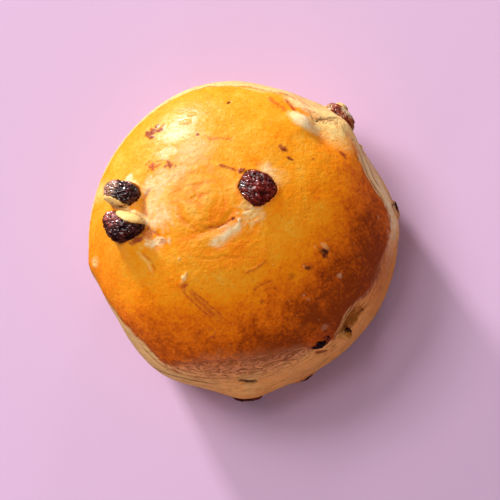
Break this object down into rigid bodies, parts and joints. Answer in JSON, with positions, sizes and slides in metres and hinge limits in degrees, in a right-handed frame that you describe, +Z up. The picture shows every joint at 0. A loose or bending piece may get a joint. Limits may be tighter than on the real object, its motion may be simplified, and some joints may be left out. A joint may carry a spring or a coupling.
{
  "type": "raisin bun",
  "caption": "Round, domed sweet bun with a glossy egg-washed crust, a paler side and raisins set in its top and side; it stands on a flat foot.",
  "frame": {"origin": "middle of the flat foot that the bun stands on", "axes": "+Z up through the crown; the two raisins that lie side by side are towards -X, and the side with the pale scoop is towards +X and -Y"},
  "size_m": [0.0986, 0.1027, 0.0511],
  "materials": {
    "crust": "baked dough, golden to red-brown, with a glossy egg-wash glaze",
    "raisin_skin": "wrinkled dark raisin skin with a slight gloss"
  },
  "bodies": {
    "root": {"bun": "crust", "raisin_left_upper": "raisin_skin", "raisin_left_lower": "raisin_skin", "raisin_centre": "raisin_skin", "raisin_back_right": "raisin_skin", "raisin_front_right": "raisin_skin", "raisin_front_foot": "raisin_skin", "raisin_front_right_foot": "raisin_skin", "raisin_right": "raisin_skin", "raisin_scoop": "raisin_skin", "raisin_back": "raisin_skin", "raisin_back_left": "raisin_skin"}
  },
  "joints": []
}
